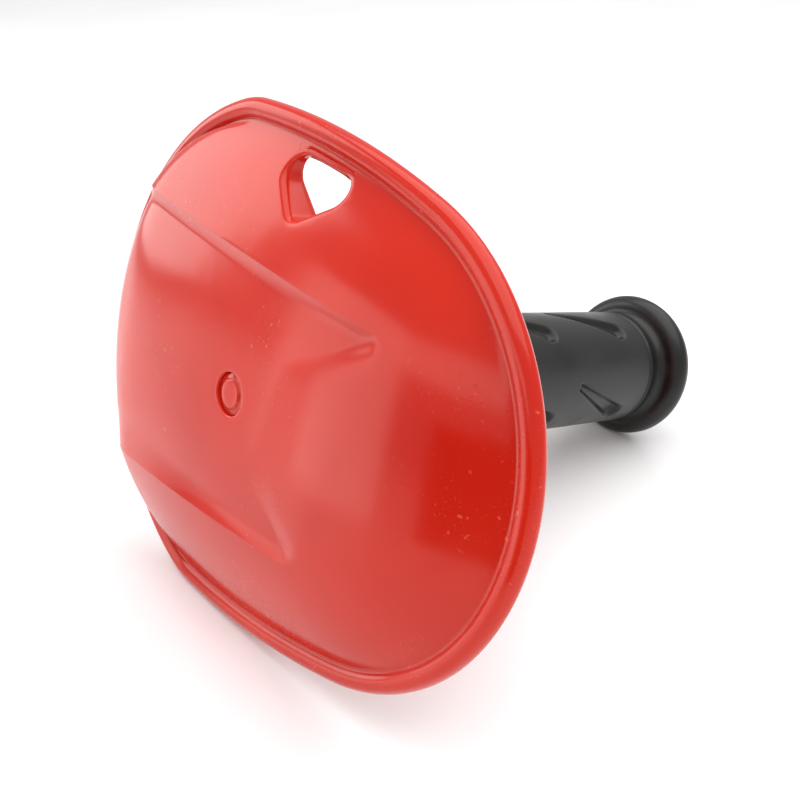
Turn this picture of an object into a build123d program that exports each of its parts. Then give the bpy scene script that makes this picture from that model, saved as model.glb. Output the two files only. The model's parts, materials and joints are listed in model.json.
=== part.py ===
from build123d import *
from copy import copy
from math import asin, atan2, cos, hypot, radians, sin, sqrt
import os

# A rigid hand plunger lying on its side: a moulded dished head with a rolled rim, a sunk
# centre panel and a hanging hole, screwed to a tube handle that carries a rubber hand grip.
# Lengths are millimetres. Every piece is drawn about the tool axis, with heights measured
# from the rim plane towards the crown, and laid down by one plane named "tool".

# ---------------------------------------------------------------- head outline (bead centre line)
half_width = 58.3          # rim bead centre line to tool axis, across
widest_at = -20.0          # station of the greatest width, towards the tail
nose_reach = 75.0          # tool axis to the round nose
nose_radius = 52.0
tail_reach = 69.5          # tool axis to the tail
tail_radius = 60.0
corner_radius = 20.0
corner_power = 0.7         # how fast the tail corners tighten towards the crest
bead_radius = 2.5          # rolled rim bead
bead_lap = 1.2             # the dome's foot runs this far into the bead

# ---------------------------------------------------------------- head shell
dome_height = 14.0         # crest of the dome above the rim plane
wall = 3.0
side_power = 3.0           # how full the dome is across, to the nose and to the tail
nose_power = 3.2
tail_power = 9.7
level_count = 7            # lofted outlines between rim and crest
level_crowding = 1.5       # how strongly they crowd towards the crest
top_level = 0.985          # height of the last outline, as a share of the dome

# ---------------------------------------------------------------- sunk centre panel
panel_half_width = 29.1    # foot of the step, at the tool axis
panel_taper = 5.1          # each edge closes towards the nose by this many degrees
panel_nose_end = 43.0
panel_corner = 6.0
panel_depth = 1.3
panel_edge_draft = 35.0    # slope of the step beside the panel, degrees from the axis
panel_edge_drop = 4.4      # the foot of the step lies this far below the dome's crest
panel_cut_foot = 4.0       # the cut stays above this height
panel_run_out = 0.6        # the sunk surface runs out over the tail by this much

# ---------------------------------------------------------------- hanging hole
hole_tail_x = -10.0         # corner nearest the tail
hole_tail_inset = 4.7      # that corner, in from the bead's centre line at its widest
hole_nose_x = 21.9         # corner nearest the nose
hole_nose_inset = 8.7
hole_inner_x = 6.3         # corner nearest the tool axis
hole_inner_inset = 19.3
hole_corner = 3.0
hole_lip = 1.4             # rounding round the mouth
hole_mouth_above = 0.5     # all the mouth's edges are higher than this
collar_wall = 2.0

# ---------------------------------------------------------------- fixing at the crown
cap_clearance = 0.15
cap_thickness = 1.2
cap_border = 1.35          # flat border round the cap's raised middle
cap_land_height = 0.6
screw_diameter = 5.0
screw_clearance = 0.3
screw_head_diameter = 8.6
screw_head_height = 3.0
screw_length = 20.0
socket_diameter = 4.4      # hexagon socket in the screw head, across corners
socket_depth = 1.8
washer_border = 0.3        # the washer stands out round the screw head by this much
washer_clearance = 0.2
washer_thickness = 0.8
cap_to_screw = 0.3
cap_edge = 0.4
cap_below_crown = 0.2
screw_head_round = 1.0
screw_point = 0.6

# ---------------------------------------------------------------- handle tube and its socket
tube_diameter = 22.0
tube_wall = 1.5
tube_socket_floor = 1.5    # height of the tube's seat in the head
boss_wall = 4.0
boss_foot = -18.0
rib_count = 6
rib_thickness = 2.4
rib_reach = 34.0
insert_length = 15.0
insert_lead = 0.8
fit_clearance = 0.05
thread_clearance = 0.05

# ---------------------------------------------------------------- rubber grip
grip_diameter = 34.0
grip_top_gap = 0.3         # grip end to boss
flange_at = -137.4         # middle of the end flange
flange_diameter = 44.3
flange_rim = 4.0           # radius of the rolled edge
neck_depth = 1.5
neck_from_flange = 7.5     # bottom of the neck to the middle of the flange
neck_flare = 0.1           # slope of the neck where it runs out on the flange
ring_from_flange = 11.6    # moulded ring line to the middle of the flange
ring_depth = 0.35
ring_width = 0.8
grip_top_round = 1.5
groove_length = 28.0       # slanted teardrop grooves, tip to end
groove_tip_radius = 0.7
groove_end_radius = 3.1
groove_depth = 1.6
groove_slant = 25.0        # degrees from the tool axis
groove_rows = 3
grooves_round = 4
groove_first = -103.5      # middle of the row nearest the flange
groove_pitch = 32.5
groove_turn = 77.0         # first groove, degrees round from the head's length

# ---------------------------------------------------------------- tube end plug
plug_head_border = 1.5     # the plug's head stands out beyond the tube by this much
plug_head_height = 2.4
plug_length = 12.0
plug_head_round = 1.0

# ---------------------------------------------------------------- lying position
# The straight side of the rim and the edge of the flange both touch the ground.
flange_middle = flange_diameter / 2 - flange_rim
drop_to_flange = half_width - flange_middle
rim_to_flange = hypot(drop_to_flange, flange_at)
lean = atan2(drop_to_flange, -flange_at) - asin((flange_rim - bead_radius) / rim_to_flange)
tool = Plane(origin=(0, 0, 0), x_dir=(1, 0, 0), z_dir=(0, -cos(lean), sin(lean)))
axial = Plane(origin=tool.origin, x_dir=tool.x_dir, z_dir=-tool.y_dir)
tool_axis = Axis(tool.origin, tool.z_dir)

panel_edge_foot = dome_height - panel_edge_drop
washer_diameter = screw_head_diameter + 2 * washer_border
recess_diameter = washer_diameter + 2 * washer_clearance
cap_diameter = recess_diameter - 2 * cap_clearance
crown_height = top_level * (dome_height - panel_depth)
cap_top = crown_height - cap_below_crown
cap_bottom = cap_top - cap_land_height - cap_thickness
screw_top = cap_bottom - cap_to_screw
screw_seat = screw_top - screw_head_height
washer_seat = screw_seat - washer_thickness
boss_diameter = tube_diameter + 2 * boss_wall
tube_bore = tube_diameter - 2 * tube_wall
grip_top = boss_foot - grip_top_gap
flange_end = flange_at - flange_rim
bore_radius = tube_diameter / 2 + fit_clearance
panel_slope = sin(radians(panel_taper)) / cos(radians(panel_taper))


def crossing(first, first_radius, second, second_radius):
    """Crossing point of two circles on the left of the line from the first to the second."""
    gap = second - first
    along = (gap.length**2 + first_radius**2 - second_radius**2) / (2 * gap.length)
    up = sqrt(first_radius**2 - along**2)
    unit = gap.normalized()
    return first + unit * along + Vector(-unit.Y, unit.X) * up


def arc_between(centre, radius, start, end):
    """Shorter arc about a centre, between the directions towards two points."""
    start_way = (start - centre).normalized()
    end_way = (end - centre).normalized()
    middle_way = (start_way + end_way).normalized()
    return ThreePointArc(
        centre + start_way * radius,
        centre + middle_way * radius,
        centre + end_way * radius,
    )


def head_outline(width, nose, tail, nose_arc, tail_arc, corner, station):
    """Round nose, long side arcs, rounded tail corners and a shallow tail arc, all tangent."""
    run = nose - nose_arc - station
    side_arc = (run**2 + width**2 - nose_arc**2) / (2 * (width - nose_arc))
    side_centre = Vector(station, width - side_arc)
    nose_centre = Vector(nose - nose_arc, 0)
    tail_centre = Vector(tail_arc - tail, 0)
    corner_centre = crossing(side_centre, side_arc - corner, tail_centre, tail_arc - corner)
    shoulder = side_centre + (corner_centre - side_centre).normalized() * side_arc
    heel = tail_centre + (corner_centre - tail_centre).normalized() * tail_arc
    join = side_centre + (nose_centre - side_centre).normalized() * side_arc
    with BuildSketch(Plane.XY, mode=Mode.PRIVATE) as outline:
        with BuildLine():
            arc_between(nose_centre, nose_arc, Vector(nose, 0), join)
            arc_between(side_centre, side_arc, join, shoulder)
            arc_between(corner_centre, corner, shoulder, heel)
            arc_between(tail_centre, tail_arc, heel, Vector(-tail, 0))
            mirror(about=Plane.XZ)
        make_face()
    return outline.sketch


def dome_level(share, inset):
    """Outline of the dome at a share of its height, the whole dome drawn in by inset."""
    side = (1 - share) ** (1 / side_power)
    nose = (1 - share) ** (1 / nose_power)
    tail = (1 - share) ** (1 / tail_power)
    foot = bead_radius - bead_lap + inset
    nose_length = (nose_reach - foot) * nose
    tail_length = (tail_reach - foot) * tail
    return head_outline(
        (half_width - foot) * side,
        nose_length,
        tail_length,
        (nose_radius - foot) * side,
        tail_radius - foot,
        (corner_radius - foot) * side**corner_power,
        widest_at * side + (nose_length - tail_length) / 2 * (1 - side),
    )


def dome(height, inset):
    """Solid dome lofted through its level outlines, standing on the rim plane."""
    with BuildPart() as solid:
        for step in range(level_count):
            share = top_level * (1 - (1 - step / (level_count - 1)) ** level_crowding)
            with BuildSketch(tool.offset(share * height)):
                add(dome_level(share, inset))
        loft()
    return solid.part


def hole_outline(grow):
    """Rounded triangle of the hanging hole, grown outwards by grow."""
    with BuildSketch(Plane.XY, mode=Mode.PRIVATE) as outline:
        with BuildLine():
            Polyline(
                (hole_tail_x, half_width - hole_tail_inset),
                (hole_inner_x, half_width - hole_inner_inset),
                (hole_nose_x, half_width - hole_nose_inset),
                close=True,
            )
        make_face()
        fillet(outline.vertices(), radius=hole_corner)
        if grow:
            offset(amount=grow)
    return outline.sketch


def panel_outline():
    """Plan of the sunk panel: a strip that narrows towards the nose, open over the tail."""
    tail_x = -tail_reach - bead_radius
    with BuildSketch(Plane.XY, mode=Mode.PRIVATE) as outline:
        with BuildLine():
            Polyline(
                (tail_x, panel_half_width - panel_slope * tail_x),
                (panel_nose_end, panel_half_width - panel_slope * panel_nose_end),
                (panel_nose_end, panel_slope * panel_nose_end - panel_half_width),
                (tail_x, panel_slope * tail_x - panel_half_width),
                close=True,
            )
        make_face()
        fillet(outline.vertices().sort_by(Axis.X)[-2:], radius=panel_corner)
    return outline.sketch


def groove_outline():
    """Teardrop groove: a small tip circle and a larger end circle joined by their tangents."""
    reach = (groove_length - groove_tip_radius - groove_end_radius) / 2
    across = reach * sin(radians(groove_slant))
    along = reach * cos(radians(groove_slant))
    with BuildSketch(Plane.XY, mode=Mode.PRIVATE) as outline:
        with Locations((along, across)):
            Circle(groove_tip_radius)
        with Locations((-along, -across)):
            Circle(groove_end_radius)
        make_hull()
    return outline.sketch


# ---------------------------------------------------------------- head shell
outer_dome = dome(dome_height, 0)
inner_dome = dome(dome_height - wall, wall)
middle_dome = dome(dome_height - wall / 2, wall / 2)
sunk_dome = dome(dome_height - panel_depth, -panel_run_out)

with BuildPart() as panel_cut:
    with BuildSketch(tool.offset(panel_edge_foot)):
        add(panel_outline())
    extrude(amount=dome_height, taper=-panel_edge_draft)
    with BuildSketch(tool.offset(panel_edge_foot)):
        add(panel_outline())
    extrude(amount=panel_cut_foot - panel_edge_foot)
    add(sunk_dome, mode=Mode.SUBTRACT)

with BuildPart() as stiffening:
    with BuildSketch(tool):
        Circle(boss_diameter / 2)
        with PolarLocations(0, rib_count):
            Rectangle(rib_reach, rib_thickness, align=(Align.MIN, Align.CENTER))
        add(hole_outline(collar_wall))
    extrude(amount=dome_height)
    add(middle_dome, mode=Mode.INTERSECT)
    with BuildSketch(tool.offset(boss_foot)):
        Circle(boss_diameter / 2)
    extrude(amount=-boss_foot)

with BuildSketch(tool) as rim_plan:
    add(head_outline(half_width, nose_reach, tail_reach, nose_radius, tail_radius, corner_radius, widest_at))
rim_path = rim_plan.sketch.wire()

with BuildPart() as rim_bead:
    with BuildSketch(Plane(origin=rim_path @ 0, z_dir=rim_path % 0)):
        Circle(bead_radius)
    sweep(path=rim_path)

with BuildPart() as head_shell:
    add(outer_dome)
    add(inner_dome, mode=Mode.SUBTRACT)
    add(stiffening.part)
    add(rim_bead.part)
    add(panel_cut.part, mode=Mode.SUBTRACT)
    with BuildSketch(tool.offset(boss_foot)):
        add(hole_outline(0))
    extrude(amount=dome_height - boss_foot, mode=Mode.SUBTRACT)
    mouth = head_shell.edges(Select.LAST).filter_by(
        lambda edge: edge.center().dot(tool.z_dir) > hole_mouth_above
    )
    fillet(mouth, radius=hole_lip)
    with BuildSketch(tool.offset(washer_seat)):
        Circle(recess_diameter / 2)
    extrude(amount=dome_height, mode=Mode.SUBTRACT)
    with BuildSketch(tool.offset(boss_foot)):
        Circle(screw_diameter / 2 + screw_clearance)
    extrude(amount=dome_height - boss_foot, mode=Mode.SUBTRACT)
    with BuildSketch(tool.offset(boss_foot)):
        Circle(tube_diameter / 2 + fit_clearance)
    extrude(amount=tube_socket_floor - boss_foot, mode=Mode.SUBTRACT)
head_shell.part.label = "head_shell"

# ---------------------------------------------------------------- cap over the screw
with BuildPart() as crown_cap:
    with BuildSketch(tool.offset(cap_bottom)):
        Circle(cap_diameter / 2)
    extrude(amount=cap_thickness)
    with BuildSketch(tool.offset(cap_bottom + cap_thickness)):
        Circle(cap_diameter / 2 - cap_border)
    extrude(amount=cap_land_height)
    fillet(crown_cap.faces().sort_by(tool_axis)[-1].edges(), radius=cap_edge)
crown_cap.part.label = "crown_cap"

# ---------------------------------------------------------------- fixing screw and washer
with BuildPart() as fixing_screw:
    with BuildSketch(tool.offset(screw_seat)):
        Circle(screw_head_diameter / 2)
    extrude(amount=screw_head_height)
    fillet(fixing_screw.faces().sort_by(tool_axis)[-1].edges(), radius=screw_head_round)
    with BuildSketch(tool.offset(screw_top)):
        RegularPolygon(socket_diameter / 2, 6)
    extrude(amount=-socket_depth, mode=Mode.SUBTRACT)
    with BuildSketch(tool.offset(screw_seat)):
        Circle(screw_diameter / 2)
    extrude(amount=-screw_length)
    chamfer(fixing_screw.faces().sort_by(tool_axis)[0].edges(), length=screw_point)
fixing_screw.part.label = "fixing_screw"

with BuildPart() as screw_washer:
    with BuildSketch(tool.offset(washer_seat)):
        Circle(washer_diameter / 2)
        Circle(screw_diameter / 2 + screw_clearance / 2, mode=Mode.SUBTRACT)
    extrude(amount=washer_thickness)
screw_washer.part.label = "screw_washer"

# ---------------------------------------------------------------- handle tube and threaded insert
with BuildPart() as handle_tube:
    with BuildSketch(tool.offset(flange_end)):
        Circle(tube_diameter / 2)
        Circle(tube_bore / 2, mode=Mode.SUBTRACT)
    extrude(amount=tube_socket_floor - flange_end)
handle_tube.part.label = "handle_tube"

with BuildPart() as tube_insert:
    with BuildSketch(tool.offset(tube_socket_floor)):
        Circle(tube_bore / 2 - fit_clearance)
        Circle(screw_diameter / 2 + thread_clearance, mode=Mode.SUBTRACT)
    extrude(amount=-insert_length)
    chamfer(tube_insert.faces().sort_by(tool_axis)[0].outer_wire().edges(), length=insert_lead)
tube_insert.part.label = "tube_insert"

# ---------------------------------------------------------------- rubber grip
grip_radius = grip_diameter / 2
ring_at = flange_at + ring_from_flange
neck_at = flange_at + neck_from_flange

with BuildPart() as grip_sleeve:
    with BuildSketch(axial):
        with BuildLine():
            bore_line = Line((bore_radius, flange_end), (bore_radius, grip_top))
            top_line = Line(bore_line @ 1, (grip_radius - grip_top_round, grip_top))
            top_round = RadiusArc(top_line @ 1, (grip_radius, grip_top - grip_top_round), grip_top_round)
            side_line = Line(top_round @ 1, (grip_radius, ring_at + ring_width / 2))
            ring_side = Line(side_line @ 1, (grip_radius - ring_depth, ring_at + ring_width / 2))
            ring_floor = Line(ring_side @ 1, (grip_radius - ring_depth, ring_at - ring_width / 2))
            neck = Spline(
                ring_floor @ 1,
                (grip_radius - neck_depth, neck_at),
                (flange_middle, flange_at + flange_rim),
                tangents=((0, -1), (1, neck_flare)),
            )
            flange_arc = ThreePointArc(
                neck @ 1, (flange_diameter / 2, flange_at), (flange_middle, flange_end)
            )
            Line(flange_arc @ 1, bore_line @ 0)
        make_face()
    revolve(axis=tool_axis)

with BuildPart() as groove_cut:
    for row in range(groove_rows):
        for step in range(grooves_round):
            turn = radians(groove_turn + step * 360 / grooves_round)
            outward = tool.x_dir * cos(turn) + tool.y_dir * sin(turn)
            middle = tool.origin + tool.z_dir * (groove_first + row * groove_pitch)
            with BuildSketch(Plane(origin=middle, x_dir=tool.z_dir, z_dir=outward)):
                add(groove_outline())
            extrude(amount=grip_radius + groove_depth)
    with BuildSketch(tool.offset(flange_at)):
        Circle(grip_radius + groove_depth)
        Circle(grip_radius - groove_depth, mode=Mode.SUBTRACT)
    extrude(amount=-flange_at, mode=Mode.INTERSECT)

with BuildPart() as grip_sleeve_grooved:
    add(grip_sleeve.part)
    add(groove_cut.part, mode=Mode.SUBTRACT)
grip_sleeve_grooved.part.label = "grip_sleeve"

# ---------------------------------------------------------------- plug in the open end of the tube
with BuildPart() as tube_end_plug:
    with BuildSketch(tool.offset(flange_end)):
        Circle(tube_diameter / 2 + plug_head_border)
    extrude(amount=-plug_head_height)
    fillet(tube_end_plug.faces().sort_by(tool_axis)[0].edges(), radius=plug_head_round)
    with BuildSketch(tool.offset(flange_end)):
        Circle(tube_bore / 2 - fit_clearance)
    extrude(amount=plug_length)
tube_end_plug.part.label = "tube_end_plug"

# ---------------------------------------------------------------- lay the tool down and write the pieces
pieces = (
    head_shell,
    crown_cap,
    fixing_screw,
    screw_washer,
    handle_tube,
    tube_insert,
    grip_sleeve_grooved,
    tube_end_plug,
)
box = Compound(children=[copy(piece.part) for piece in pieces]).bounding_box()
laid_down = Location((-box.center().X, -box.center().Y, -box.min.Z))
os.makedirs("parts", exist_ok=True)
for piece in pieces:
    placed = laid_down * piece.part
    placed.label = piece.part.label
    export_step(placed, "parts/" + placed.label + ".step")
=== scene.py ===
"""Rigid hand plunger lying on its side: moulded head, rubber grip, studio floor and light.

Sizes are millimetres in the tool's own frame: x towards the round nose of the head, y across
it, z along the handle towards the crown, measured from the plane of the rim. One class turns
them into metres in the shared frame.
"""

import json
import logging
import math
from dataclasses import dataclass, field
from enum import Enum
from typing import Any, Callable, Optional, Sequence

import bpy
import numpy as np
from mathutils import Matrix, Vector


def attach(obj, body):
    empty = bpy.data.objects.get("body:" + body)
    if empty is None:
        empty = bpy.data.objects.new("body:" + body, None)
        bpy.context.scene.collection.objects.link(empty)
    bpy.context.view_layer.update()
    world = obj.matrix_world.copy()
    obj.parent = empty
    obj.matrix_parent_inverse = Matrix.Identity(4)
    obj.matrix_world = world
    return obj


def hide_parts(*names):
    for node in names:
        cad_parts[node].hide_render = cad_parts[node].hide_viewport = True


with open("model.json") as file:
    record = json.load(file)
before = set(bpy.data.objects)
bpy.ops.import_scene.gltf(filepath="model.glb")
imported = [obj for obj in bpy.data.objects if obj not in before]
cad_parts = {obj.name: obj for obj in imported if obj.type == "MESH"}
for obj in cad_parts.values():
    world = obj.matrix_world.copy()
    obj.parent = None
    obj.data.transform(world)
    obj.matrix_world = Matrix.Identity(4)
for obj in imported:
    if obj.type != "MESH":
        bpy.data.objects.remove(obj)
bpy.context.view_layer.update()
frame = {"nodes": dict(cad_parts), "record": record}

log = logging.getLogger("plunger")
TURN = 2.0 * math.pi
OUTLINE_POINTS = 1440  # evenly spaced points on a rounded polygon


# --------------------------------------------------------------------------- shared helpers
def linear(hex_colour: str) -> tuple[float, float, float, float]:
    """Turns an sRGB hex colour into linear red, green, blue and a full alpha.

    Args:
        hex_colour: Six hex digits, with or without a leading hash.

    Returns:
        The colour that Blender's sockets take.
    """
    digits = hex_colour.lstrip("#")
    channels = [int(digits[i : i + 2], 16) / 255.0 for i in (0, 2, 4)]
    bent = [c / 12.92 if c <= 0.04045 else ((c + 0.055) / 1.055) ** 2.4 for c in channels]
    return (*bent, 1.0)


def smooth(x: np.ndarray) -> np.ndarray:
    """Smooth step: 0 below 0, 1 above 1, and the cubic 3t^2 - 2t^3 between."""
    t = np.clip(x, 0.0, 1.0)
    return t * t * (3.0 - 2.0 * t)


def bell(x: np.ndarray, width: float) -> np.ndarray:
    """Rounded bump of height 1 at x = 0 that is gone at a distance of width."""
    return smooth(1.0 - np.abs(x) / width)


def polar_reader(
    points: np.ndarray, centre: tuple[float, float] = (0.0, 0.0)
) -> Callable[[np.ndarray], np.ndarray]:
    """Makes a function that gives a closed outline's distance from a centre in any direction.

    Args:
        points: Outline points, n by 2, going round the centre once.
        centre: The point that the distances are measured from.

    Returns:
        A function from an array of angles in radians to an array of distances.
    """
    away = points - np.asarray(centre)
    angle = np.mod(np.arctan2(away[:, 1], away[:, 0]), TURN)
    order = np.argsort(angle)
    angle, reach = angle[order], np.hypot(away[:, 0], away[:, 1])[order]
    return lambda query: np.interp(np.mod(query, TURN), angle, reach, period=TURN)


def polar_point(
    outline: np.ndarray, centre: tuple[float, float], towards: np.ndarray
) -> np.ndarray:
    """Points where rays from a centre towards given points cross a closed outline.

    Args:
        outline: Outline points, n by 2, going round the centre once.
        centre: Where the rays start.
        towards: Points that the rays pass through, m by 2.

    Returns:
        The crossings, m by 2.
    """
    away = towards - np.asarray(centre)
    angle = np.arctan2(away[:, 1], away[:, 0])
    reach = polar_reader(outline, centre)(angle)
    return np.asarray(centre) + np.column_stack([np.cos(angle), np.sin(angle)]) * reach[:, None]


def arc(centre: np.ndarray, radius: float, start: float, end: float, count: int) -> np.ndarray:
    """Points on an arc: centre plus radius times (cos, sin) of evenly spaced angles."""
    turn = np.linspace(start, end, count)
    return np.column_stack([centre[0] + radius * np.cos(turn), centre[1] + radius * np.sin(turn)])


def rounded_polygon(
    corners: Sequence[tuple[float, float]], radius: float, count: int = 24
) -> np.ndarray:
    """Closed convex polygon, counter-clockwise, with each corner replaced by an arc.

    Each arc's centre lies on the corner's bisector, radius / sin(half the corner) from it.

    Args:
        corners: The sharp corners in order.
        radius: Radius of every corner.
        count: Points on each arc.

    Returns:
        The outline's points, n by 2.
    """
    outline = []
    total = len(corners)
    for k in range(total):
        before, here, after = (np.array(corners[(k + s) % total], float) for s in (-1, 0, 1))
        back = (before - here) / np.linalg.norm(before - here)
        on = (after - here) / np.linalg.norm(after - here)
        half = math.acos(float(np.clip(back @ on, -1.0, 1.0))) / 2.0
        middle = (back + on) / np.linalg.norm(back + on)
        centre = here + middle * radius / math.sin(half)
        away = math.atan2(-middle[1], -middle[0])
        sweep = math.pi / 2.0 - half
        outline.append(arc(centre, radius, away - sweep, away + sweep, count))
    dense = np.vstack(outline + [outline[0][:1]])
    steps = np.concatenate([[0.0], np.cumsum(np.hypot(*np.diff(dense, axis=0).T))])
    even = np.linspace(0.0, steps[-1], OUTLINE_POINTS + 1)[:-1]
    return np.column_stack([np.interp(even, steps, dense[:, axis]) for axis in (0, 1)])


def with_z(xy: np.ndarray, z: np.ndarray) -> np.ndarray:
    """Rows of plan points with one height for each row as the third value."""
    tall = np.broadcast_to(np.asarray(z)[:, None, None], xy.shape[:2] + (1,))
    return np.concatenate([xy, tall], axis=-1)


def turned(profile: Sequence[tuple[float, float]], columns: int) -> np.ndarray:
    """Rows made by turning a profile of radius and height round the handle axis.

    Row i and column j is (radius_i cos a_j, radius_i sin a_j, height_i), with even angles a_j.

    Args:
        profile: Pairs of radius and height, one for each row.
        columns: Points round each row.

    Returns:
        Points, rows by columns by 3.
    """
    pairs = np.asarray(profile, float)
    angle = np.arange(columns) / columns * TURN
    ring = np.stack([np.cos(angle), np.sin(angle)], axis=-1)
    return with_z(pairs[:, :1, None] * ring[None], pairs[:, 1])


@dataclass(frozen=True)
class LyingTool:
    """The tool's own frame in the shared frame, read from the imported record's handle end."""

    end_to_rim: float = 143.8
    origin: np.ndarray = field(init=False)
    across: np.ndarray = field(init=False)
    up_axis: np.ndarray = field(init=False)

    def __post_init__(self) -> None:
        """Reads the handle end's place and direction."""
        mount = next(m for m in frame["record"]["mounts"] if m["name"] == "handle_end")
        crown = -np.array(mount["axis"], float)
        crown /= np.linalg.norm(crown)
        origin = np.array(mount["pos_m"], float) + crown * self.end_to_rim / 1000.0
        object.__setattr__(self, "up_axis", crown)
        object.__setattr__(self, "across", np.array([0.0, crown[2], -crown[1]]))
        object.__setattr__(self, "origin", origin)

    def place(self, points: np.ndarray) -> np.ndarray:
        """Turns tool millimetres into shared metres.

        The place is the origin plus x along X, y along the across direction and z towards the
        crown.

        Args:
            points: Points in the tool's frame, with three values in the last axis.

        Returns:
            Points in the shared frame, n by 3.
        """
        flat = np.asarray(points, float).reshape(-1, 3) / 1000.0
        along = np.array([1.0, 0.0, 0.0])
        level = self.origin + flat[:, :1] * along + flat[:, 1:2] * self.across
        return level + flat[:, 2:3] * self.up_axis


class Mesher:
    """Collects grids and turns them into one object with smooth faces that point outwards."""

    def __init__(self, tool: LyingTool) -> None:
        """Starts with no points and no faces.

        Args:
            tool: The frame that the points are given in.
        """
        self.tool = tool
        self.points: list[np.ndarray] = []
        self.quads: list[np.ndarray] = []
        self.triangles: list[np.ndarray] = []
        self.count = 0

    def add(self, points: np.ndarray) -> np.ndarray:
        """Adds points to the mesh.

        Args:
            points: Points in the tool's frame, with three values in the last axis.

        Returns:
            Their numbers, in the same shape without the last axis.
        """
        shape = points.shape[:-1]
        numbers = self.count + np.arange(int(np.prod(shape))).reshape(shape)
        self.points.append(points.reshape(-1, 3))
        self.count += numbers.size
        return numbers

    def weave(
        self, numbers: np.ndarray, wrap: bool = True, keep: Optional[np.ndarray] = None
    ) -> None:
        """Joins a grid of point numbers, rows by columns, with quads.

        Args:
            numbers: Point numbers, one row after another.
            wrap: Whether the last column joins the first.
            keep: Cells to keep, rows - 1 by columns, or None for all.
        """
        right = np.roll(numbers, -1, axis=1) if wrap else numbers[:, 1:]
        left = numbers if wrap else numbers[:, :-1]
        cells = np.stack([left[:-1], right[:-1], right[1:], left[1:]], axis=-1)
        if keep is not None:
            cells = cells[keep[:, : cells.shape[1]]]
        self.quads.append(cells.reshape(-1, 4))

    def close(self, ring: np.ndarray, pole: Sequence[float], flip: bool = False) -> None:
        """Closes a ring of point numbers with a fan round one pole point.

        Args:
            ring: Point numbers of the ring.
            pole: The point in the middle, in the tool's frame.
            flip: Whether the fan faces the other way.
        """
        hub = self.add(np.asarray(pole, float).reshape(1, 3))[0]
        fan = np.column_stack([ring, np.roll(ring, -1), np.full_like(ring, hub)])
        self.triangles.append(fan[:, ::-1] if flip else fan)

    def build(self, name: str) -> bpy.types.Object:
        """Makes the mesh object in the shared frame and rides it on the root body.

        Args:
            name: Name of the object and its mesh.

        Returns:
            The new object, at the origin, with its place in its mesh.
        """
        mesh = bpy.data.meshes.new(name)
        quads = np.vstack(self.quads) if self.quads else np.empty((0, 4), int)
        tris = np.vstack(self.triangles) if self.triangles else np.empty((0, 3), int)
        corners = np.concatenate([quads.ravel(), tris.ravel()]).astype(np.int32)
        sizes = np.concatenate([np.full(len(quads), 4), np.full(len(tris), 3)])
        starts = np.concatenate([[0], np.cumsum(sizes)[:-1]]).astype(np.int32)
        placed = self.tool.place(np.vstack(self.points)).astype(np.float32)
        mesh.vertices.add(self.count)
        mesh.vertices.foreach_set("co", placed.ravel())
        mesh.loops.add(len(corners))
        mesh.loops.foreach_set("vertex_index", corners)
        mesh.polygons.add(len(sizes))
        mesh.polygons.foreach_set("loop_start", starts)
        mesh.polygons.foreach_set("use_smooth", np.ones(len(sizes), bool))
        mesh.update(calc_edges=True)
        mesh.validate()
        piece = bpy.data.objects.new(name, mesh)
        bpy.context.scene.collection.objects.link(piece)
        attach(piece, "root")
        return piece


# --------------------------------------------------------------------------- finishes
SMOOTHED = {"interpolation_type": "SMOOTHSTEP"}
TIMES = {"operation": "MULTIPLY"}


class Node(Enum):
    """Blender's name for each kind of node that the finishes use."""

    COORDINATES = "ShaderNodeTexCoord"
    MAPPING = "ShaderNodeMapping"
    NOISE = "ShaderNodeTexNoise"
    RAMP = "ShaderNodeValToRGB"
    RANGE = "ShaderNodeMapRange"
    MATH = "ShaderNodeMath"
    MIX = "ShaderNodeMix"
    BUMP = "ShaderNodeBump"
    SHADER = "ShaderNodeBsdfPrincipled"
    OUTPUT = "ShaderNodeOutputMaterial"


def add_node(
    tree: bpy.types.NodeTree,
    kind: Node,
    settings: Optional[dict[str, Any]] = None,
    stops: Sequence[tuple[float, str]] = (),
    **links: Any,
) -> bpy.types.Node:
    """Adds one node, sets its properties and fills its inputs.

    Args:
        tree: The material's node tree.
        kind: Kind of node.
        settings: Node properties by name, such as operation.
        stops: The two ends of a colour ramp, as places and sRGB hex colours.
        **links: Inputs by name with underscores for spaces, or in0, in1 for numbered ones. A
            value that is an output socket is linked, and any other value is set.

    Returns:
        The new node.
    """
    node = tree.nodes.new(kind.value)
    for name, value in (settings or {}).items():
        setattr(node, name, value)
    if stops:
        for mark, (place, colour) in zip(node.color_ramp.elements, stops):
            mark.position, mark.color = place, linear(colour)
    for name, value in links.items():
        numbered = name[:2] == "in" and name[2:].isdigit()
        socket = node.inputs[int(name[2:])] if numbered else node.inputs[name.replace("_", " ")]
        if isinstance(value, bpy.types.NodeSocket):
            tree.links.new(value, socket)
        else:
            socket.default_value = value
    return node


def blobs(size_mm: float) -> float:
    """Noise scale, in blobs to the metre, for blobs of a size in millimetres."""
    return 1000.0 / size_mm


@dataclass(frozen=True)
class Finish:
    """A finish on a Principled shader, with patterns sized in real millimetres."""

    name: str

    def skin(self, tree: bpy.types.NodeTree, where: bpy.types.NodeSocket) -> dict[str, Any]:
        """Makes the nodes of the finish's patterns; each finish has its own.

        Args:
            tree: The material's node tree.
            where: The Object coordinates that the patterns read.

        Returns:
            What goes into the shader's inputs, by name with underscores for spaces.
        """
        raise NotImplementedError

    def build(self) -> bpy.types.Material:
        """Makes the material from its coordinates, patterns, shader and output.

        Returns:
            The new material.
        """
        material = bpy.data.materials.new(self.name)
        material.use_nodes = True
        tree = material.node_tree
        tree.nodes.clear()
        where = add_node(tree, Node.COORDINATES).outputs["Object"]
        shader = add_node(tree, Node.SHADER, **self.skin(tree, where))
        add_node(tree, Node.OUTPUT, Surface=shader.outputs["BSDF"])
        return material


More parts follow.
